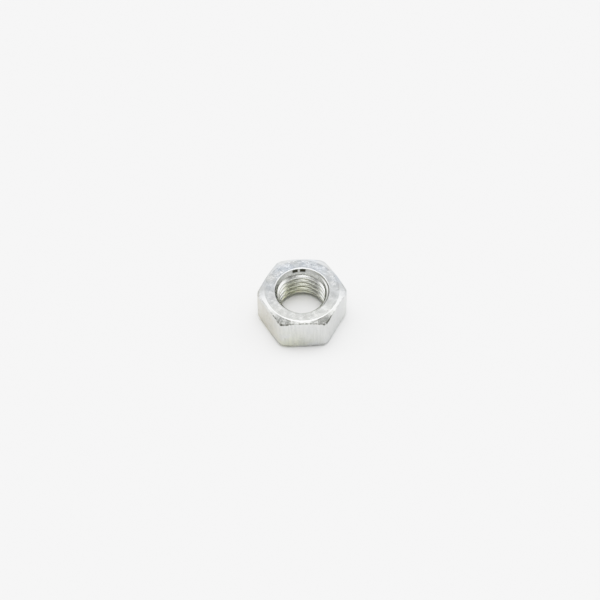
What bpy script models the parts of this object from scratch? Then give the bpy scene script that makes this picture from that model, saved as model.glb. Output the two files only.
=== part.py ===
"""A plain hex nut: one piece of zinc-plated steel, with a right-hand coarse thread right through it.

Metres, +Z up. The origin is the centre of the lower bearing face, the thread's axis is Z, two
corners of the hexagon lie on the X axis and two of its flats face +Y and -Y.
"""

import math

import bmesh
import bpy
from mathutils import Matrix

# The hexagon, and how much is taken off its edges.
ACROSS_FLATS = 0.0240
THICKNESS = 0.0126
CORNER_RADIUS = 0.0020  # of the six upright edges
CHAMFER_INSET = 0.00075  # from each flat in to the circle where the face chamfer starts
CHAMFER_ANGLE = math.radians(30)  # between the chamfer and the bearing face

# The thread: M16 coarse, 60 degrees, right-handed.
THREAD_DIAMETER = 0.0160
THREAD_PITCH = 0.0020
THREAD_CLOCKING = math.radians(20)  # where a groove passes the lower bearing face

# The countersinks at both ends of the thread.
COUNTERSINK_LIP = 0.00025  # from the thread's root out to the countersink's mouth
COUNTERSINK_ANGLE = math.radians(70)  # the cone's full angle

# How finely the round shapes are cut into flat ones.
CORNER_SEGMENTS = 4
CHAMFER_SEGMENTS = 72
THREAD_SEGMENTS = 36  # in one turn

OVERRUN = 0.0010  # how far a cutter reaches past the surface that it cuts

# The 60 degree thread's form, as shares of the pitch.
FLANK_SLOPE = math.tan(math.radians(30))
THREAD_DEPTH = 5 / 8 * math.cos(math.radians(30)) * THREAD_PITCH
ROOT_FLAT = THREAD_PITCH / 8

THREAD_RADIUS = THREAD_DIAMETER / 2
BORE_RADIUS = THREAD_RADIUS - THREAD_DEPTH
COUNTERSINK_RADIUS = THREAD_RADIUS + COUNTERSINK_LIP
HEX_CORNER_RADIUS = ACROSS_FLATS / 2 / math.cos(math.radians(30))
CHAMFER_CIRCLE_RADIUS = ACROSS_FLATS / 2 - CHAMFER_INSET


def clear_scene():
    """Removes every object, so that only the nut's own pieces are in the scene."""
    for obj in list(bpy.data.objects):
        bpy.data.objects.remove(obj)


def new_collection(name):
    collection = bpy.data.collections.new(name)
    bpy.context.scene.collection.children.link(collection)
    return collection


def zinc_plated_steel():
    """Bright zinc plating: a pale, slightly cool grey metal."""
    material = bpy.data.materials.new("zinc_plated_steel")
    material.use_nodes = True
    shader = material.node_tree.nodes["Principled BSDF"]
    shader.inputs["Base Color"].default_value = (0.72, 0.73, 0.74, 1)
    shader.inputs["Metallic"].default_value = 1.0
    shader.inputs["Roughness"].default_value = 0.35
    return material


def new_object(name, bm, collection):
    """An object that holds what the bmesh holds."""
    mesh = bpy.data.meshes.new(name)
    bm.to_mesh(mesh)
    bm.free()
    obj = bpy.data.objects.new(name, mesh)
    collection.objects.link(obj)
    return obj


def new_cutter(name, bm):
    """A helper object that cuts or limits the nut, and isn't part of it."""
    obj = new_object(name, bm, cutters)
    obj.hide_render = True
    obj.display_type = "WIRE"
    return obj


def new_profile(points):
    """The points, given as (radius, height), joined by edges in the XZ plane. Returns the bmesh."""
    bm = bmesh.new()
    verts = [bm.verts.new((radius, 0, height)) for radius, height in points]
    for start, end in zip(verts, verts[1:]):
        bm.edges.new((start, end))
    return bm


def turn_half_a_segment(bm, segments):
    """Turns a round cutter so that its edges cross the other pieces' flat sides, not their edges."""
    half = Matrix.Rotation(math.pi / segments, 3, "Z")
    bmesh.ops.rotate(bm, verts=bm.verts, matrix=half)


def add_screw(obj, steps, rise=0.0, turns=1):
    """Turns a profile about Z, and lifts it by rise in each turn."""
    screw = obj.modifiers.new("turn", "SCREW")
    screw.axis = "Z"
    screw.angle = math.tau
    screw.screw_offset = rise
    screw.iterations = turns
    screw.steps = steps
    screw.render_steps = steps
    screw.use_merge_vertices = rise == 0
    screw.merge_threshold = 1e-5


def evaluated_mesh(obj):
    """A plain mesh of the object with its modifiers worked out."""
    graph = bpy.context.evaluated_depsgraph_get()
    return bpy.data.meshes.new_from_object(obj.evaluated_get(graph))


def bake(obj):
    """Replaces the object's mesh by its evaluated one, and drops the modifiers."""
    mesh = evaluated_mesh(obj)
    obj.modifiers.clear()
    obj.data = mesh


def add_boolean(obj, cutter, operation="DIFFERENCE"):
    boolean = obj.modifiers.new(cutter.name, "BOOLEAN")
    boolean.operation = operation
    boolean.solver = "EXACT"
    boolean.object = cutter


def hexagonal_bar():
    """A length of six-sided bar with rounded upright edges, a little longer than the nut."""
    bm = bmesh.new()
    bmesh.ops.create_cone(
        bm,
        cap_ends=True,
        segments=6,
        radius1=HEX_CORNER_RADIUS,
        radius2=HEX_CORNER_RADIUS,
        depth=THICKNESS + 2 * OVERRUN,
    )
    bmesh.ops.translate(bm, verts=bm.verts, vec=(0, 0, THICKNESS / 2))
    corner = max(bm.verts, key=lambda vert: vert.co.x)
    turn = -math.atan2(corner.co.y, corner.co.x)
    bmesh.ops.rotate(bm, verts=bm.verts, matrix=Matrix.Rotation(turn, 3, "Z"))
    weights = bm.edges.layers.float.new("bevel_weight_edge")
    for edge in bm.edges:
        upright = abs(edge.verts[0].co.z - edge.verts[1].co.z) > THICKNESS / 2
        edge[weights] = 1.0 if upright else 0.0
    obj = new_object("hex_nut", bm, parts)
    bevel = obj.modifiers.new("rounded_corners", "BEVEL")
    bevel.limit_method = "WEIGHT"
    bevel.offset_type = "OFFSET"
    bevel.width = CORNER_RADIUS * math.tan(math.radians(30))
    bevel.segments = CORNER_SEGMENTS
    return obj


def chamfer_envelope():
    """The turned blank that the hexagon is cut back to: a drum with a chamfer at each end."""
    outer = HEX_CORNER_RADIUS + OVERRUN
    drop = (outer - CHAMFER_CIRCLE_RADIUS) * math.tan(CHAMFER_ANGLE)
    profile = [
        (0, THICKNESS),
        (CHAMFER_CIRCLE_RADIUS, THICKNESS),
        (outer, THICKNESS - drop),
        (outer, drop),
        (CHAMFER_CIRCLE_RADIUS, 0),
        (0, 0),
    ]
    bm = new_profile(profile)
    turn_half_a_segment(bm, CHAMFER_SEGMENTS)
    obj = new_cutter("chamfer_envelope", bm)
    add_screw(obj, CHAMFER_SEGMENTS)
    return obj


def bore():
    """The hole at the thread's minor diameter, right through the nut."""
    bm = bmesh.new()
    bmesh.ops.create_cone(
        bm,
        cap_ends=True,
        segments=THREAD_SEGMENTS,
        radius1=BORE_RADIUS,
        radius2=BORE_RADIUS,
        depth=THICKNESS + 2 * OVERRUN,
    )
    bmesh.ops.translate(bm, verts=bm.verts, vec=(0, 0, THICKNESS / 2))
    return new_cutter("bore", bm)


def thread_groove():
    """The helical groove: its section, turned about Z and lifted by a pitch a turn, with capped ends."""
    foot_radius = BORE_RADIUS - ROOT_FLAT  # inside the bore, so that groove and bore overlap
    foot_half = ROOT_FLAT / 2 + (THREAD_RADIUS - foot_radius) * FLANK_SLOPE
    section = [
        (foot_radius, foot_half),
        (THREAD_RADIUS, ROOT_FLAT / 2),
        (THREAD_RADIUS, -ROOT_FLAT / 2),
        (foot_radius, -foot_half),
        (foot_radius, foot_half),
    ]
    obj = new_cutter("thread_groove", new_profile(section))
    turns = math.ceil(THICKNESS / THREAD_PITCH) + 2
    add_screw(obj, THREAD_SEGMENTS, THREAD_PITCH, turns)
    bake(obj)
    bm = bmesh.new()
    bm.from_mesh(obj.data)
    bmesh.ops.remove_doubles(bm, verts=bm.verts, dist=1e-7)
    open_edges = [edge for edge in bm.edges if edge.is_boundary]
    bmesh.ops.holes_fill(bm, edges=open_edges, sides=len(section))
    clocking = Matrix.Rotation(THREAD_CLOCKING, 3, "Z")
    bmesh.ops.rotate(bm, verts=bm.verts, matrix=clocking)
    bmesh.ops.translate(bm, verts=bm.verts, vec=(0, 0, -THREAD_PITCH))
    bmesh.ops.triangulate(bm, faces=bm.faces)
    bmesh.ops.recalc_face_normals(bm, faces=bm.faces)
    bm.to_mesh(obj.data)
    bm.free()
    return obj


def countersink(name, face_height, outward):
    """The cone at one end of the thread. outward is 1 at the upper face and -1 at the lower one."""
    slope = math.tan(COUNTERSINK_ANGLE / 2)
    tip_depth = (COUNTERSINK_RADIUS - BORE_RADIUS + OVERRUN) / slope
    wide = COUNTERSINK_RADIUS + OVERRUN * slope
    narrow = BORE_RADIUS - OVERRUN
    bm = bmesh.new()
    bmesh.ops.create_cone(
        bm,
        cap_ends=True,
        segments=CHAMFER_SEGMENTS,
        radius1=narrow if outward > 0 else wide,
        radius2=wide if outward > 0 else narrow,
        depth=OVERRUN + tip_depth,
    )
    middle = face_height + outward * (OVERRUN - tip_depth) / 2
    bmesh.ops.translate(bm, verts=bm.verts, vec=(0, 0, middle))
    turn_half_a_segment(bm, CHAMFER_SEGMENTS)
    return new_cutter(name, bm)


def hex_nut():
    """The whole nut: bar, chamfers, bore, thread and countersinks."""
    nut = hexagonal_bar()
    add_boolean(nut, chamfer_envelope(), "INTERSECT")
    add_boolean(nut, bore())
    add_boolean(nut, thread_groove())
    add_boolean(nut, countersink("upper_countersink", THICKNESS, 1))
    add_boolean(nut, countersink("lower_countersink", 0, -1))
    bake(nut)
    nut.data.materials.clear()
    nut.data.materials.append(zinc_plated_steel())
    nut.data.shade_smooth()
    nut.data.set_sharp_from_angle(angle=math.radians(30))
    return nut


clear_scene()
parts = new_collection("hex_nut")
cutters = new_collection("cutters")
hex_nut()
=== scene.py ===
"""Looks for a zinc-plated hex nut.

The nut has its true thread, worn edges and plating, and stands in a plain pale studio.
"""

import math

import bpy
from bpy.props import (
    FloatProperty,
    FloatVectorProperty,
    IntProperty,
    PointerProperty,
)
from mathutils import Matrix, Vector


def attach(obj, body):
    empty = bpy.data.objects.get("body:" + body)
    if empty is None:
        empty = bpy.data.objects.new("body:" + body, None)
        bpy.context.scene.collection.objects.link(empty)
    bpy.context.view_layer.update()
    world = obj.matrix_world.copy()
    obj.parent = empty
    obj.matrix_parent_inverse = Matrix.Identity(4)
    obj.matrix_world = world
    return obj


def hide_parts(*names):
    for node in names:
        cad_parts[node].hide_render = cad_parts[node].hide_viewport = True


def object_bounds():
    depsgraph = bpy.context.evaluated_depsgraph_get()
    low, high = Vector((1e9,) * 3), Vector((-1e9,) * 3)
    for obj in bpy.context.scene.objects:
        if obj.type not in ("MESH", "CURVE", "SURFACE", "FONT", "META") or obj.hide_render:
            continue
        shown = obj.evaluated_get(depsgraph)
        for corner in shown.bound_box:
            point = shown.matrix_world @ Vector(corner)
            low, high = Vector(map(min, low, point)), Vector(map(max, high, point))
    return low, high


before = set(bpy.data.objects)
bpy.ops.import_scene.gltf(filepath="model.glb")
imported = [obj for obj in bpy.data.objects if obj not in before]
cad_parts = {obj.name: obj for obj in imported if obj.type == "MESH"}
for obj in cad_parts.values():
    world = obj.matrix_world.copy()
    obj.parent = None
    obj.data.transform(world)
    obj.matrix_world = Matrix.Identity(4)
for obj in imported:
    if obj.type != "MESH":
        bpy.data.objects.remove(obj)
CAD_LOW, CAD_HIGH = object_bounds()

bl_info = {
    "name": "Zinc-Plated Hex Nut",
    "version": (1, 0, 0),
    "blender": (4, 5, 0),
    "location": "View3D > Sidebar > Hex Nut",
    "description": "Builds a tapped hex nut with its plating, on a pale studio floor",
    "category": "Object",
}

MM = 0.001
CAD_SIZE = CAD_HIGH - CAD_LOW
SIXTH = math.radians(30)  # from the middle of a flat to a corner


def corner_radius_of(across_flats, across_corners):
    """The radius that takes a sharp hexagon's corners back to that size across them."""
    sharp = across_flats / math.cos(SIXTH)
    return (sharp - across_corners) / 2 / (1 / math.cos(SIXTH) - 1)


# ---------------------------------------------------------------- settings


class NutSizes(bpy.types.PropertyGroup):
    """The nut's sizes. Those that the CAD box gives start from it."""

    across_flats: FloatProperty(
        name="Across flats",
        description="Distance between two opposite flats",
        default=CAD_SIZE.y,
        subtype="DISTANCE",
        unit="LENGTH",
    )
    thickness: FloatProperty(
        name="Thickness",
        description="Distance between the two bearing faces",
        default=CAD_SIZE.z,
        subtype="DISTANCE",
        unit="LENGTH",
    )
    corner_radius: FloatProperty(
        name="Corner radius",
        description="Radius of the six upright edges",
        default=corner_radius_of(CAD_SIZE.y, CAD_SIZE.x),
        subtype="DISTANCE",
        unit="LENGTH",
    )
    chamfer_inset: FloatProperty(
        name="Chamfer inset",
        description="From a flat in to the circle where the chamfer starts",
        default=0.75 * MM,
        subtype="DISTANCE",
        unit="LENGTH",
    )
    chamfer_angle: FloatProperty(
        name="Chamfer angle",
        description="Between the chamfer and the bearing face",
        default=math.radians(30),
        subtype="ANGLE",
    )
    thread_diameter: FloatProperty(
        name="Thread diameter",
        description="Largest diameter of the thread",
        default=16 * MM,
        subtype="DISTANCE",
        unit="LENGTH",
    )
    thread_pitch: FloatProperty(
        name="Thread pitch",
        description="Rise of the thread in one turn",
        default=2 * MM,
        subtype="DISTANCE",
        unit="LENGTH",
    )
    thread_clocking: FloatProperty(
        name="Thread clocking",
        description="Where a groove passes the lower bearing face",
        default=math.radians(20),
        subtype="ANGLE",
    )
    countersink_lip: FloatProperty(
        name="Countersink lip",
        description="From the thread's root out to the countersink's mouth",
        default=0.25 * MM,
        subtype="DISTANCE",
        unit="LENGTH",
    )
    countersink_angle: FloatProperty(
        name="Countersink angle",
        description="Full angle of the cone at each end of the thread",
        default=math.radians(70),
        subtype="ANGLE",
    )


class NutWear(bpy.types.PropertyGroup):
    """How far tooling, tumbling and plating have softened the nut."""

    mouth_rounding: FloatProperty(
        name="Mouth rounding",
        description="Radius where the countersink meets the bearing face",
        default=0.18 * MM,
        subtype="DISTANCE",
        unit="LENGTH",
    )
    face_rounding: FloatProperty(
        name="Face rounding",
        description="Radius where the bearing face meets the chamfer",
        default=0.28 * MM,
        subtype="DISTANCE",
        unit="LENGTH",
    )
    edge_rounding: FloatProperty(
        name="Edge rounding",
        description="Radius where the chamfer meets a flat",
        default=0.22 * MM,
        subtype="DISTANCE",
        unit="LENGTH",
    )
    waviness: FloatProperty(
        name="Waviness",
        description="Height of the slow waves that forming leaves in the outer faces",
        default=0.035 * MM,
        subtype="DISTANCE",
        unit="LENGTH",
    )
    dent_depth: FloatProperty(
        name="Dent depth",
        description="Depth of the small dents that tumbling leaves",
        default=0.022 * MM,
        subtype="DISTANCE",
        unit="LENGTH",
    )
    burr_height: FloatProperty(
        name="Burr height",
        description="How far the ragged edge under the chamfer wanders",
        default=0.12 * MM,
        subtype="DISTANCE",
        unit="LENGTH",
    )
    seed: IntProperty(
        name="Seed",
        description="Seed of the dents, waves and burrs",
        default=4,
    )


class PlatingLook(bpy.types.PropertyGroup):
    """The zinc plating's colours, and how much its marks show."""

    silver: FloatVectorProperty(
        name="Silver",
        description="The plating's main colour",
        default=(0.74, 0.75, 0.74),
        subtype="COLOR",
        min=0.0,
        max=1.0,
    )
    blue: FloatVectorProperty(
        name="Blue",
        description="Where the clear passivation shows blue, mostly on the upper face",
        default=(0.66, 0.71, 0.78),
        subtype="COLOR",
        min=0.0,
        max=1.0,
    )
    straw: FloatVectorProperty(
        name="Straw",
        description="Where it shows yellow, mostly low on the flats",
        default=(0.72, 0.73, 0.56),
        subtype="COLOR",
        min=0.0,
        max=1.0,
    )
    # Partly a warm pink tint, partly painted shade: darker than the silver, it darkens the left flats.
    rose_and_left_shade: FloatVectorProperty(
        name="Rose",
        description="Where it shows a warm pink, mostly on the left flats",
        default=(0.55, 0.49, 0.36),
        subtype="COLOR",
        min=0.0,
        max=1.0,
    )
    # This dark colour serves dirt and painted shade: the painted shadow under the ragged edge, the
    # painted reflections in the upper countersink, and a darkening towards the thread's roots.
    dirt_and_painted_shade: FloatVectorProperty(
        name="Grime",
        description="Oil and dirt in the ragged edges, the thread and the countersinks",
        default=(0.06, 0.06, 0.045),
        subtype="COLOR",
        min=0.0,
        max=1.0,
    )
    roughness: FloatProperty(
        name="Roughness",
        description="The plating's roughness where it is neither worn nor dull",
        default=0.2,
        min=0.05,
        max=1.0,
    )


class StudioLook(bpy.types.PropertyGroup):
    """The floor, the light tent and the camera."""

    floor: FloatVectorProperty(
        name="Floor",
        description="The floor's colour",
        default=(0.83, 0.83, 0.83),
        subtype="COLOR",
        min=0.0,
        max=1.0,
    )
    tent: FloatProperty(
        name="Tent",
        description="Brightness of the tent's walls",
        default=0.66,
    )
    overhead: FloatProperty(
        name="Overhead light",
        description="Brightness of the long soft light above the nut, over the tent's",
        default=3.6,
    )
    zenith: FloatProperty(
        name="Zenith light",
        description="Brightness of the small soft light straight above the nut, over the tent's",
        default=6.2,
    )
    sides: FloatProperty(
        name="Side lights",
        description="Brightness of the two soft lights at the sides, over the tent's",
        default=1.3,
    )
    azimuth: FloatProperty(
        name="Camera azimuth",
        description="Camera's direction round the nut from the front, positive to the right",
        default=math.radians(-2.0),
        subtype="ANGLE",
    )
    elevation: FloatProperty(
        name="Camera elevation",
        description="Camera's height above the floor, as an angle",
        default=math.radians(54.8),
        subtype="ANGLE",
    )
    distance: FloatProperty(
        name="Camera distance",
        description="From the camera to the nut",
        default=0.5,
        subtype="DISTANCE",
        unit="LENGTH",
    )
    lens: FloatProperty(
        name="Lens",
        description="The camera's focal length in millimetres",
        default=99.15,
    )


# ---------------------------------------------------------------- nodes


def plug(tree, socket, value):
    """Links a wire to an input socket, or sets the socket to a plain value."""
    if isinstance(value, Wire):
        tree.links.new(value.socket, socket)
    else:
        socket.default_value = value


class Wire:
    """An output socket that Python's arithmetic works on, one Math node for each step."""

    def __init__(self, graph, socket):
        self.graph = graph
        self.socket = socket

    def math(self, operation, *others, clamp=False):
        settings = {"operation": operation, "use_clamp": clamp}
        return self.graph.add("ShaderNodeMath", settings, [self, *others]).out

    def __add__(self, other):
        return self.math("ADD", other)

    __radd__ = __add__

    def __mul__(self, other):
        return self.math("MULTIPLY", other)

    __rmul__ = __mul__

    def __sub__(self, other):
        return self.math("SUBTRACT", other)

    def __rsub__(self, other):
        return self * -1 + other

    def __truediv__(self, other):
        return self.math("DIVIDE", other)

    def __rtruediv__(self, other):
        return self.math("POWER", -1.0) * other

    def __pow__(self, power):
        return self.math("POWER", power)

    def __abs__(self):
        return self.math("ABSOLUTE")

    def sin(self):
        return self.math("SINE")

    def cos(self):
        return self.math("COSINE")

    def floor(self):
        return self.math("FLOOR")

    def sign(self):
        return self.math("SIGN")

    def root(self):
        return self.math("SQRT")

    def least(self, other):
        return self.math("MINIMUM", other)

    def most(self, other):
        return self.math("MAXIMUM", other)

    def smooth_least(self, other, distance):
        return self.math("SMOOTH_MIN", other, distance)

    def smooth_most(self, other, distance):
        return self.math("SMOOTH_MAX", other, distance)

    def held(self, low, high):
        return self.most(low).least(high)

    def ramp(self, start, end):
        """0 at start, 1 at end, smooth between them and held outside. end may be the lower one."""
        return self.graph.add(
            "ShaderNodeMapRange",
            {"interpolation_type": "SMOOTHSTEP"},
            {"Value": self, "From Min": start, "From Max": end},
        ).out

    def between(self, low, high):
        """self as a share: low where self is 0 and high where it is 1."""
        return self * (high - low) + low


class Made:
    """A node that was just made. Its outputs are wires, by name."""

    def __init__(self, graph, node):
        self.graph = graph
        self.node = node

    def __getitem__(self, name):
        found = [s for s in self.node.outputs if s.enabled and s.name == name]
        return Wire(self.graph, found[0])

    @property
    def out(self):
        return Wire(self.graph, next(s for s in self.node.outputs if s.enabled))


class Graph:
    """A node tree with one method that makes any node in it."""

    def __init__(self, tree):
        self.tree = tree

    def add(self, kind, settings=None, sockets=None):
        """settings are the node's own properties, and sockets its inputs, by name or in order."""
        node = self.tree.nodes.new(kind)
        for name, value in (settings or {}).items():
            if name == "items":
                self.set_items(node, value)
            else:
                setattr(node, name, value)
        live = [s for s in node.inputs if s.enabled]
        if isinstance(sockets, dict):
            for name, value in sockets.items():
                plug(self.tree, next(s for s in live if s.name == name), value)
        else:
            for socket, value in zip(live, sockets or []):
                plug(self.tree, socket, value)
        return Made(self, node)

    @staticmethod
    def set_items(node, count):
        while len(node.index_switch_items) < count:
            node.index_switch_items.new()

    def vector(self, x, y, z):
        return self.add("ShaderNodeCombineXYZ", {}, [x, y, z]).out

    def parts(self, vector):
        """The x, y and z of a vector wire."""
        split = self.add("ShaderNodeSeparateXYZ", {}, [vector])
        return split["X"], split["Y"], split["Z"]

    def scaled(self, vector, by):
        """A vector wire times a number or a wire."""
        return self.add(
            "ShaderNodeVectorMath",
            {"operation": "SCALE"},
            {"Vector": vector, "Scale": by},
        ).out

    def noise(self, vector, scale, detail=2.0, roughness=0.5):
        """Noise from 0 to 1, about 0.5 on average."""
        return self.add(
            "ShaderNodeTexNoise",
            {},
            {
                "Vector": vector,
                "Scale": scale,
                "Detail": detail,
                "Roughness": roughness,
            },
        )["Fac"]


# ---------------------------------------------------------------- the nut's shape


AROUND = 288  # steps in one turn, a multiple of six
FLAT_SHARE = 0.8  # of the steps along a side, those on its flat; the rest round the corners
THREAD_ROWS = 20  # across one pitch
# Rows in each band of the outer skin, from the upper countersink's mouth over the rim, down the
# flats and round to the lower mouth: a rounding, a land, a rounding, and so on.
BAND_ROWS = (5, 16, 6, 6, 6, 34, 6, 6, 6, 8, 5)
WELD = 0.001 * MM
THREAD_SOFTNESS = 0.09 * MM  # how far crest and root corners are rounded
RUN_OUT_SOFTNESS = 0.05 * MM  # where the countersink cuts the thread
FLANK_SLOPE = math.tan(math.radians(30))


def tree_inputs(sizes, wear):
    """The shape tree's inputs by name, in metres, as the settings give them."""
    pitch = sizes.thread_pitch
    thread_radius = sizes.thread_diameter / 2
    mouth = thread_radius + sizes.countersink_lip
    return {
        "Apothem": sizes.across_flats / 2,
        "Thickness": sizes.thickness,
        "Corner Radius": sizes.corner_radius,
        "Chamfer Circle": sizes.across_flats / 2 - sizes.chamfer_inset,
        "Chamfer Slope": math.tan(sizes.chamfer_angle),
        "Mouth Radius": mouth,
        "Countersink Slope": math.tan(sizes.countersink_angle / 2),
        "Mouth Tangent": wear.mouth_rounding
        * math.tan((math.pi - sizes.countersink_angle) / 4),
        "Face Tangent": wear.face_rounding * math.tan(sizes.chamfer_angle / 2),
        "Edge Tangent": wear.edge_rounding
        * math.tan((math.pi / 2 - sizes.chamfer_angle) / 2),
        "Thread Radius": thread_radius,
        "Thread Depth": 5 / 8 * math.cos(math.radians(30)) * pitch,
        "Pitch": pitch,
        "Groove Height": -pitch * sizes.thread_clocking / math.tau - pitch,
        "Waviness": wear.waviness,
        "Dent Depth": wear.dent_depth,
        "Burr Height": wear.burr_height,
        "Seed": float(wear.seed),
    }


def hexagon_ray(graph, size, turn):
    """(angle, radius) of the rounded hexagon's outline. turn runs from 0 to 1 round it."""
    sides = turn * 6
    side = sides.floor()
    across = (sides - side) * 2 - 1
    bend = (abs(across) - FLAT_SHARE).most(0) * (SIXTH / (1 - FLAT_SHARE))
    radius = size["Corner Radius"]
    half_flat = (size["Apothem"] - radius) * math.tan(SIXTH)
    along = (across / FLAT_SHARE).held(-1, 1) * half_flat
    along = along + across.sign() * radius * bend.sin()
    out = size["Apothem"] - radius + radius * bend.cos()
    angle = side * (2 * SIXTH) + SIXTH + along.math("ARCTAN2", out)
    return angle, (out * out + along * along).root()


def attribute(graph, name):
    settings = {"data_type": "FLOAT"}
    return graph.add("GeometryNodeInputNamedAttribute", settings, {"Name": name})[
        "Attribute"
    ]


def store(graph, mesh, name, value):
    return graph.add(
        "GeometryNodeStoreNamedAttribute",
        {"data_type": "FLOAT", "domain": "POINT"},
        {"Geometry": mesh, "Name": name, "Value": value},
    ).out


def strip(graph, columns, rows):
    """A flat grid for a later step to bend, with its turn and across stored, each from 0 to 1."""
    grid = graph.add(
        "GeometryNodeMeshGrid",
        {},
        {"Size X": 1.0, "Size Y": 1.0, "Vertices X": columns + 1, "Vertices Y": rows + 1},
    )
    turn, across, _ = graph.parts(grid["UV Map"])
    mesh = store(graph, grid["Mesh"], "turn", turn)
    return store(graph, mesh, "across", across)


def placed(graph, mesh, radius, angle, height):
    """The mesh with its points at these polar places."""
    place = graph.vector(radius * angle.cos(), radius * angle.sin(), height)
    return graph.add(
        "GeometryNodeSetPosition", {}, {"Geometry": mesh, "Position": place}
    ).out


def pick(graph, index, values):
    """The value, from a list of numbers and wires, that index names."""
    switch = graph.add(
        "GeometryNodeIndexSwitch", {"data_type": "FLOAT", "items": len(values)}
    )
    plug(graph.tree, switch.node.inputs["Index"], index)
    for number, value in enumerate(values):
        plug(graph.tree, switch.node.inputs[number + 1], value)
    return switch.out


def ragged(graph, size, angle):
    """From -1 to 1 round the nut: how the edge under a chamfer wanders."""
    spot = graph.vector(angle.cos() * 9, angle.sin() * 9, size["Seed"])
    return (graph.noise(spot, 1.6, 4.0, 0.65) - 0.5) * 2


def skin_corners(graph, size, rim, angle):
    """(radii, heights) of the outer skin's section before rounding, from the upper cone to the lower."""
    top = size["Thickness"]
    mouth = size["Mouth Radius"]
    circle = size["Chamfer Circle"]
    drop = (rim - circle) * size["Chamfer Slope"]
    reach = 1 * MM
    cone_drop = reach / size["Countersink Slope"]
    burr = ragged(graph, size, angle) * size["Burr Height"]
    radii = [mouth - reach, mouth, circle, rim, rim, circle, mouth, mouth - reach]
    edges = [top - drop + burr, drop + burr]
    heights = [top - cone_drop, top, top, *edges, 0.0, 0.0, cone_drop]
    return radii, heights


def outer_skin(graph, size):
    """Mouths, bearing faces, chamfers and flats, with rounded edges between them."""
    joined = graph.add("GeometryNodeJoinGeometry")
    for band, rows in enumerate(BAND_ROWS):
        mesh = store(graph, strip(graph, AROUND, rows), "band", float(band))
        graph.tree.links.new(mesh.socket, joined.node.inputs[0])
    band = attribute(graph, "band")
    across = attribute(graph, "across")
    angle, rim = hexagon_ray(graph, size, attribute(graph, "turn"))
    radii, heights = skin_corners(graph, size, rim, angle)
    tangents = [0.0] + [size[n + " Tangent"] for n in ("Mouth", "Face", "Edge")]
    tangents += tangents[:0:-1] + [0.0]
    corner = (band / 2).floor() + 1
    is_land = (band / 2 - (band / 2).floor()).math("GREATER_THAN", 0.25)

    def at(offset):
        index = corner + offset
        return [pick(graph, index, values) for values in (radii, heights, tangents)]

    (ra, za, _), (rb, zb, tb), (rc, zc, tc) = at(-1), at(0), at(1)
    length_in = ((rb - ra) ** 2 + (zb - za) ** 2).root()
    length_out = ((rc - rb) ** 2 + (zc - zb) ** 2).root()
    in_r, in_z = (rb - ra) / length_in, (zb - za) / length_in
    out_r, out_z = (rc - rb) / length_out, (zc - zb) / length_out
    weight = ((in_r * out_r + in_z * out_z + 1) / 2).root()
    first, second = (1 - across) * (1 - across), across * across
    middle = weight * across * (1 - across) * 2
    total = first + middle + second

    def section(b, c, along_in, along_out):
        """One coordinate of the section: an arc round the corner at b, or the land from b to c."""
        start, leave, end = b - tb * along_in, b + tb * along_out, c - tc * along_out
        arc = (first * start + middle * b + second * leave) / total
        land = leave + across * (end - leave)
        return arc + is_land * (land - arc)

    radius = section(rb, rc, in_r, out_r)
    height = section(zb, zc, in_z, out_z)
    mesh = placed(graph, joined.out, radius, angle, height)
    mesh = store(graph, mesh, "station", band + across)
    return store(graph, mesh, "inside", 0.0)


def thread_skin(graph, size, turns):
    """The thread and the cones that cut its ends: one long strip wound up as a helix, a pitch wide."""
    mesh = strip(graph, AROUND * turns, THREAD_ROWS)
    wound = attribute(graph, "turn") * turns
    across = attribute(graph, "across")
    whole = (wound + 0.25 / AROUND).floor()
    angle, _ = hexagon_ray(graph, size, wound - whole)
    pitch = size["Pitch"]
    from_groove = (across - 0.5) * pitch
    groove = size["Groove Height"] + pitch * (whole + angle / math.tau)
    slope = size["Countersink Slope"]
    mouth = size["Mouth Radius"]
    top = size["Thickness"]
    cone = (slope * slope + 1).root()
    end_depth = size["Mouth Tangent"] / cone
    height = (groove + from_groove).most(end_depth).least(top - end_depth)
    flank = size["Thread Radius"] + (pitch / 16 - abs(from_groove)) / FLANK_SLOPE
    root = size["Thread Radius"]
    crest = root - size["Thread Depth"]
    cut = flank.smooth_least(root, THREAD_SOFTNESS).smooth_most(crest, THREAD_SOFTNESS)
    depth = height.least(top - height)
    radius = cut.smooth_most(mouth - depth * slope, RUN_OUT_SOFTNESS)
    mesh = placed(graph, mesh, radius, angle, height)
    mesh = store(graph, mesh, "station", 0.0)
    return store(graph, mesh, "inside", 1.0)


def worn(graph, size, mesh):
    """The mesh with slow waves and small dents in its outer faces."""
    place = graph.add("GeometryNodeInputPosition")["Position"]
    spot = graph.add(
        "ShaderNodeVectorMath",
        {"operation": "MULTIPLY_ADD"},
        [place, (1000.0,) * 3, graph.vector(0.0, 0.0, size["Seed"] * 10)],
    ).out
    waves = graph.noise(spot, 0.22, 2.0, 0.5) - 0.5
    cells = graph.add(
        "ShaderNodeTexVoronoi",
        {"feature": "F1"},
        {"Vector": spot, "Scale": 0.55, "Randomness": 1.0},
    )
    size_of_dent = graph.parts(cells["Color"])[0].ramp(0.5, 1.0)
    dent = cells["Distance"].ramp(0.42, 0.05) * size_of_dent
    outer = 1 - attribute(graph, "inside")
    lift = waves * 2 * size["Waviness"] - dent * size["Dent Depth"]
    push = graph.scaled(graph.add("GeometryNodeInputNormal")["Normal"], lift * outer)
    return graph.add(
        "GeometryNodeSetPosition", {}, {"Geometry": mesh, "Offset": push}
    ).out


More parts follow.
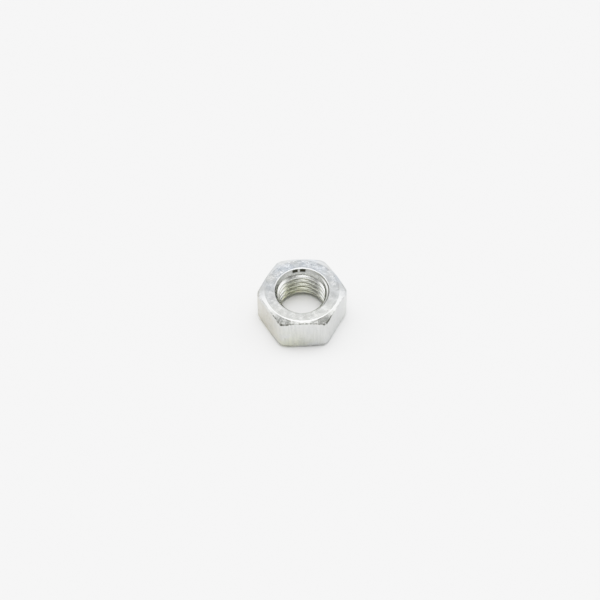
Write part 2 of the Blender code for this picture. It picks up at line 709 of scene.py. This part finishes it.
def build_shape_tree(inputs, turns, material):
    """The geometry nodes that make the nut from its sizes."""
    tree = bpy.data.node_groups.new("hex_nut_shape", "GeometryNodeTree")
    tree.interface.new_socket(
        "Geometry", in_out="OUTPUT", socket_type="NodeSocketGeometry"
    )
    for name, value in inputs.items():
        socket = tree.interface.new_socket(
            name, in_out="INPUT", socket_type="NodeSocketFloat"
        )
        socket.default_value = value
    graph = Graph(tree)
    group_input = graph.add("NodeGroupInput")
    size = {name: group_input[name] for name in inputs}
    both = graph.add("GeometryNodeJoinGeometry")
    for mesh in (outer_skin(graph, size), thread_skin(graph, size, turns)):
        tree.links.new(mesh.socket, both.node.inputs[0])
    mesh = graph.add(
        "GeometryNodeMergeByDistance", {}, {"Geometry": both.out, "Distance": WELD}
    ).out
    mesh = graph.add("GeometryNodeFlipFaces", {}, {"Mesh": mesh}).out
    mesh = worn(graph, size, mesh)
    mesh = graph.add("GeometryNodeSetShadeSmooth", {}, {"Geometry": mesh}).out
    mesh = graph.add("GeometryNodeRealizeInstances", {}, {"Geometry": mesh}).out
    mesh = graph.add(
        "GeometryNodeSetMaterial", {}, {"Geometry": mesh, "Material": material}
    ).out
    group_output = graph.add("NodeGroupOutput")
    plug(tree, group_output.node.inputs[0], mesh)
    return tree


def made_by_nodes(name, tree, inputs):
    """A plain mesh object that holds what the tree makes from these inputs."""
    maker = bpy.data.objects.new(name + "_maker", bpy.data.meshes.new(name + "_maker"))
    bpy.context.scene.collection.objects.link(maker)
    modifier = maker.modifiers.new("shape", "NODES")
    modifier.node_group = tree
    for item in tree.interface.items_tree:
        if item.in_out == "INPUT":
            modifier[item.identifier] = inputs[item.name]
    graph = bpy.context.evaluated_depsgraph_get()
    mesh = bpy.data.meshes.new_from_object(maker.evaluated_get(graph))
    mesh.name = name
    bpy.data.objects.remove(maker)
    obj = bpy.data.objects.new(name, mesh)
    bpy.context.scene.collection.objects.link(obj)
    return obj


# ---------------------------------------------------------------- materials


def new_material(name):
    """A material's Principled shader and the graph of its tree."""
    material = bpy.data.materials.new(name)
    material.use_nodes = True
    shader = material.node_tree.nodes["Principled BSDF"]
    return material, shader, Graph(material.node_tree)


def mixed(graph, share, first, second):
    """A colour: first where share is 0 and second where it is 1."""
    mix = graph.add("ShaderNodeMix", {"data_type": "RGBA"})
    sockets = {n.name: n for n in mix.node.inputs if n.enabled}
    for name, value in (("Factor", share), ("A", first), ("B", second)):
        if not isinstance(value, Wire) and name != "Factor":
            value = (*value, 1.0)
        plug(graph.tree, sockets[name], value)
    return mix["Result"]


def near(value, middle, reach):
    """1 where value is at middle, 0 where it is reach or more away."""
    return abs(value - middle).ramp(reach, 0)


class Skin:
    """Where a point of the nut is, as wires: place in mm, radius, angle and band masks."""

    def __init__(self, graph):
        place = graph.add("ShaderNodeTexCoord")["Object"]
        self.graph = graph
        self.place = graph.scaled(place, 1000.0)
        self.x, self.y, self.z = graph.parts(self.place)
        self.radius = (self.x * self.x + self.y * self.y).root()
        self.angle = self.y.math("ARCTAN2", self.x) * math.degrees(1)
        self.inside = self.read("inside")
        self.station = self.read("station")
        outer = 1 - self.inside
        self.height = self.z / (CAD_SIZE.z / MM)  # 0 at the lower face and 1 at the upper
        self.faces = outer * (self.band(1.2, 1.9) + self.band(9.1, 9.8)).least(1)
        self.chamfers = outer * (self.band(2.6, 4.4) + self.band(6.6, 8.4)).least(1)
        self.flats = outer * self.band(4.6, 6.4)
        self.rims = outer * (near(self.station, 2.5, 0.5) + near(self.station, 8.5, 0.5))
        self.mouths = outer * (self.station.ramp(1.15, 0.6) + self.station.ramp(9.85, 10.4))
        self.edges = outer * (self.band(3.87, 4.85) + self.band(6.15, 7.13))

    def read(self, name):
        settings = {"attribute_type": "GEOMETRY", "attribute_name": name}
        return self.graph.add("ShaderNodeAttribute", settings)["Fac"]

    def band(self, low, high):
        """1 between these stations, fading out over 0.2 on each side."""
        station = self.station
        return station.ramp(low - 0.2, low) * station.ramp(high + 0.2, high)

    def stretched(self, x, y, z):
        """The place in mm times these, for noise that runs along an axis."""
        return self.graph.vector(self.x * x, self.y * y, self.z * z)


# Painted reflections: dark patches in the upper countersink that stand for a dark thing reflected there,
# as (degrees round the hole, half its width in degrees).
CONE_PAINTED_REFLECTIONS = ((103.6, 6.2), (86.4, 6.4))
BURNISHED_AND_HIGHLIGHT = (0.86, 0.87, 0.86)  # the rims and mouths: partly worn metal, partly a painted highlight
CREST_PAINTED_HIGHLIGHT = (0.93, 0.94, 0.91)  # painted highlight on the thread's first full crest
FRONT_FACE_PAINTED_LIGHT = (0.84, 0.85, 0.81)  # painted light: the front of the upper face made paler
DRAWN_STREAKS_AND_PAINTED_SHADE = 0.55  # of the silver: painted shade on the flats, in drawn streaks


def plating_colour(graph, skin, look):
    """The silver with its blue, straw and rose tints. The rose is also painted shade that darkens the
    left flats, and the front of the upper face gets painted light.
    """
    slow = graph.noise(skin.place, 0.16, 2.0, 0.5)
    other = graph.noise(skin.stretched(-1, 1, 1), 0.21, 2.0, 0.5)
    cloud = graph.noise(skin.place, 0.9, 3.0, 0.6)
    top = skin.height.ramp(0.8, 0.97)
    low = 1 - top
    back = skin.y.ramp(-6, 9)
    blue = (top * back.between(0.1, 1.0) + skin.x.ramp(3, 11) * low * 0.3)
    blue = blue * slow.ramp(0.25, 0.65) * (1 - skin.inside)
    straw = low * skin.x.ramp(9, -6).between(0.25, 1.0) * other.ramp(0.3, 0.62)
    straw = straw * skin.height.ramp(1.1, 0.1) + skin.inside * 0.08
    # Painted shade as well as a tint: the rose darkens the left flats.
    rose_and_left_shade = low * skin.x.ramp(-5, -11) * cloud.ramp(0.3, 0.7).between(0.5, 1.0)
    # Painted light: the front of the upper face made paler.
    pale = top * skin.y.ramp(-2, -9) * (1 - skin.inside)
    colour = mixed(graph, pale, tuple(look.silver), FRONT_FACE_PAINTED_LIGHT)
    colour = mixed(graph, blue.held(0, 1), colour, tuple(look.blue))
    colour = mixed(graph, straw.held(0, 1), colour, tuple(look.straw))
    return mixed(graph, rose_and_left_shade.held(0, 1), colour, tuple(look.rose_and_left_shade))


def dirt_and_painted_shade_share(graph, skin):
    """How much of the dark colour covers a point: dirt, painted shadow and painted reflections."""
    fine = graph.noise(skin.place, 2.6, 4.0, 0.7)
    dashes = graph.noise(skin.stretched(1, 1, 0.3), 1.15, 3.0, 0.7)
    front = skin.y.ramp(-7, -9).between(0.45, 1.0)
    # Painted shadow: dark dashes under the ragged burr along the chamfer's lower edge, strongest at the
    # front.
    edge = skin.edges * dashes.ramp(0.46, 0.53) * fine.ramp(0.3, 0.42) * front
    # Darker towards the thread's roots.
    roots = skin.inside * skin.radius.ramp(7.35, 7.95) * 0.25
    above = skin.height.ramp(0.955, 0.985)
    # Painted reflections: the dark patches in the upper countersink.
    marks = 0.0
    for middle, half in CONE_PAINTED_REFLECTIONS:
        around = abs(skin.angle - middle + (fine - 0.5) * 2.5)
        marks = around.ramp(half + 0.8, half - 0.8) + marks
    wall = skin.inside * skin.height.ramp(0.905, 0.935) * skin.height.ramp(0.992, 0.975)
    marks = marks * wall
    # A faint film in the bore, plus painted reflection that darkens the back of the upper countersink.
    cone = skin.height.ramp(0.84, 0.88) * skin.y.ramp(1, 6)
    film = skin.inside * fine.ramp(0.3, 0.7) * cone.between(0.08, 0.35) * above.between(1.0, 0.3)
    return (edge * 0.95).most(roots).most(marks).most(film).held(0, 1)


def plating_relief(graph, skin):
    """Heights in mm for the bump: turned lines, drawn streaks, dents and a fine grain."""
    turned = graph.vector(skin.radius * 5.0, skin.angle * 0.004, 0.0)
    lines = graph.noise(turned, 1.0, 3.0, 0.6) - 0.5
    streaks = graph.noise(skin.stretched(1.6, 1.6, 0.10), 1.6, 3.0, 0.65) - 0.5
    dents = graph.noise(skin.place, 1.7, 2.0, 0.6).ramp(0.42, 0.68)
    grain = graph.noise(skin.place, 7.0, 2.0, 0.5) - 0.5
    rough_patch = skin.y.ramp(-3, 7) * graph.noise(skin.place, 0.35, 1.0, 0.5).ramp(0.38, 0.55)
    height = skin.faces * lines * 0.012
    height = height + (skin.flats + skin.chamfers * 0.5) * streaks * 0.012
    height = height - dents * (skin.faces * rough_patch * 0.018 + skin.chamfers * 0.008)
    return height + grain * 0.002


def plating_material(look):
    """Bright zinc plating with its tints, marks and tool lines, with painted light in its colour:
    painted shade on the flats, painted highlights on the rims, mouths and first crest, and painted
    shadow and reflections in the dark colour.
    """
    material, shader, graph = new_material("zinc_plating")
    skin = Skin(graph)
    colour = plating_colour(graph, skin, look)
    # Painted shade: the flats made darker overall, with drawn streaks through it.
    tone = graph.noise(skin.stretched(1.4, 1.4, 0.12), 1.2, 3.0, 0.6)
    shade = skin.flats * tone.ramp(0.35, 0.65).between(0.45, 0.68)
    dark = tuple(DRAWN_STREAKS_AND_PAINTED_SHADE * channel for channel in look.silver)
    colour = mixed(graph, shade, colour, dark)
    # Painted highlight on the rims and mouths, with some real wear. The wear also lowers the roughness.
    wear_and_painted_highlight = (skin.rims * 0.6 + skin.mouths * 0.6).held(0, 1)
    colour = mixed(graph, wear_and_painted_highlight, colour, BURNISHED_AND_HIGHLIGHT)
    # Painted highlight on the thread's first full crest.
    crest_painted_highlight = skin.inside * near(skin.height, 0.76, 0.1)
    colour = mixed(graph, crest_painted_highlight, colour, CREST_PAINTED_HIGHLIGHT)
    # The dark colour: dirt, with painted shadow and painted reflections.
    dirt_and_painted_shade = dirt_and_painted_shade_share(graph, skin)
    colour = mixed(graph, dirt_and_painted_shade, colour, tuple(look.dirt_and_painted_shade))
    plug(graph.tree, shader.inputs["Base Color"], colour)
    shader.inputs["Metallic"].default_value = 1.0
    dull = graph.noise(skin.place, 0.7, 3.0, 0.6).ramp(0.35, 0.7)
    roughness = look.roughness + dull * 0.08 - wear_and_painted_highlight * 0.05 + dirt_and_painted_shade * 0.25
    plug(graph.tree, shader.inputs["Roughness"], roughness)
    bump = graph.add(
        "ShaderNodeBump",
        {},
        {"Strength": 1.0, "Distance": MM, "Height": plating_relief(graph, skin)},
    )
    plug(graph.tree, shader.inputs["Normal"], bump.out)
    return material


# ---------------------------------------------------------------- the studio


def direction(azimuth, elevation):
    """The unit vector that points there. Azimuth 0 is the front, -Y, and 90 degrees the right, +X."""
    level = math.cos(elevation)
    return Vector(
        (
            math.sin(azimuth) * level,
            -math.cos(azimuth) * level,
            math.sin(elevation),
        )
    )


def patch(graph, rays, azimuth, elevation, inner, outer):
    """1 within inner of that direction, 0 beyond outer. All are in degrees."""
    axis = direction(math.radians(azimuth), math.radians(elevation))
    settings = {"operation": "DOT_PRODUCT"}
    cosine = graph.add("ShaderNodeVectorMath", settings, [rays, tuple(axis)])["Value"]
    return cosine.ramp(math.cos(math.radians(outer)), math.cos(math.radians(inner)))


def tent_light(look):
    """A white tent: lights along the top, at the zenith and at each side, and two dim gaps in front."""
    world = bpy.data.worlds.new("tent")
    world.use_nodes = True
    graph = Graph(world.node_tree)
    rays = graph.add("ShaderNodeTexCoord")["Generated"]
    across, depth, up = graph.parts(rays)
    lean = math.radians(13)
    off_axis = abs(depth * math.cos(lean) - up * math.sin(lean))
    strip = off_axis.ramp(0.32, 0.12) * abs(across).ramp(0.85, 0.2) * up.ramp(0.1, 0.4)
    light = up.ramp(0.7, 0.0).between(0.8, 1.5) * look.tent
    light = light + strip * look.overhead
    light = light + patch(graph, rays, 0, 87, 4, 24) * look.zenith
    for azimuth in (104, -104):
        light = light + patch(graph, rays, azimuth, 38, 6, 30) * look.sides
    for azimuth in (64, -64):
        gap = patch(graph, rays, azimuth, 54, 8, 28)
        light = light * (1 - gap * 0.6)
    background = world.node_tree.nodes["Background"]
    plug(world.node_tree, background.inputs["Strength"], light)
    background.inputs["Color"].default_value = (1, 1, 1, 1)
    return world


SHOULDER = 0.5  # where the exposure starts to roll off towards white
WHITE = 3.0  # the light that comes out as full white
EXPOSURE_STEPS = (0.25, 0.5, 0.65, 0.8, 1.0, 1.2, 1.4, 1.7, 2.0, 2.5)


def expose(view):
    """A high-key exposure: linear to the shoulder, then an even roll-off, as on film."""
    view.view_transform = "Standard"
    view.use_curve_mapping = True
    curves = view.curve_mapping
    curves.white_level = (WHITE, WHITE, WHITE)
    points = curves.curves[3].points
    room = 1 - SHOULDER
    for light in EXPOSURE_STEPS:
        over = max(light - SHOULDER, 0)
        shown = min(light, SHOULDER) + room * (1 - math.exp(-over / room))
        points.new(light / WHITE, shown)
    curves.update()


# ---------------------------------------------------------------- operators


class HEXNUT_OT_nut(bpy.types.Operator):
    """Builds the nut in place of its CAD solid"""

    bl_idname = "hexnut.nut"
    bl_label = "Hex Nut"

    def execute(self, context):
        scene = context.scene
        inputs = tree_inputs(scene.hexnut_sizes, scene.hexnut_wear)
        turns = math.ceil(inputs["Thickness"] / inputs["Pitch"] + 1.5)
        material = plating_material(scene.hexnut_plating)
        tree = build_shape_tree(inputs, turns, material)
        nut = made_by_nodes("hex_nut_plated", tree, inputs)
        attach(nut, "root")
        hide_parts("hex_nut")
        return {"FINISHED"}


FLOOR_HALF = 2.0  # half of the floor's side, in metres
AIM_OFFSET = (-0.61 * MM, 0.73 * MM, 0)  # across the view, from the nut's middle
SENSOR_WIDTH = 36  # millimetres


class HEXNUT_OT_studio(bpy.types.Operator):
    """Builds the floor, the lights and the camera"""

    bl_idname = "hexnut.studio"
    bl_label = "Studio"

    def execute(self, context):
        scene = context.scene
        look = scene.hexnut_studio
        self.add_floor(scene, look)
        self.add_camera(scene, look)
        scene.world = tent_light(look)
        expose(scene.view_settings)
        return {"FINISHED"}

    def add_floor(self, scene, look):
        half = FLOOR_HALF
        corners = [(-half, -half, 0), (half, -half, 0), (half, half, 0), (-half, half, 0)]
        mesh = bpy.data.meshes.new("floor")
        mesh.from_pydata(corners, [], [(0, 1, 2, 3)])
        floor = bpy.data.objects.new("floor", mesh)
        scene.collection.objects.link(floor)
        material, shader, _ = new_material("floor_white")
        shader.inputs["Base Color"].default_value = (*look.floor, 1)
        shader.inputs["Roughness"].default_value = 0.9
        shader.inputs["Specular IOR Level"].default_value = 0.2
        mesh.materials.append(material)

    def add_camera(self, scene, look):
        data = bpy.data.cameras.new("camera")
        camera = bpy.data.objects.new("camera", data)
        scene.collection.objects.link(camera)
        back = direction(look.azimuth, look.elevation)
        turn = back.to_track_quat("Z", "Y")
        middle = (CAD_LOW + CAD_HIGH) / 2
        aim = middle + turn @ Vector(AIM_OFFSET)
        camera.location = aim + back * look.distance
        camera.rotation_mode = "QUATERNION"
        camera.rotation_quaternion = turn
        data.sensor_width = SENSOR_WIDTH
        data.lens = look.lens
        scene.camera = camera


class HEXNUT_PT_panel(bpy.types.Panel):
    """Lists the nut's operators"""

    bl_idname = "HEXNUT_PT_panel"
    bl_label = "Hex Nut"
    bl_space_type = "VIEW_3D"
    bl_region_type = "UI"
    bl_category = "Hex Nut"

    def draw(self, context):
        for operator in (HEXNUT_OT_nut, HEXNUT_OT_studio):
            self.layout.operator(operator.bl_idname)


SETTINGS = {
    "hexnut_sizes": NutSizes,
    "hexnut_wear": NutWear,
    "hexnut_plating": PlatingLook,
    "hexnut_studio": StudioLook,
}
CLASSES = (*SETTINGS.values(), HEXNUT_OT_nut, HEXNUT_OT_studio, HEXNUT_PT_panel)


def register():
    for cls in CLASSES:
        bpy.utils.register_class(cls)
    for name, group in SETTINGS.items():
        setattr(bpy.types.Scene, name, PointerProperty(type=group))


def unregister():
    for name in SETTINGS:
        delattr(bpy.types.Scene, name)
    for cls in reversed(CLASSES):
        bpy.utils.unregister_class(cls)


def main():
    register()
    bpy.ops.hexnut.nut()
    bpy.ops.hexnut.studio()


if __name__ == "__main__":
    main()
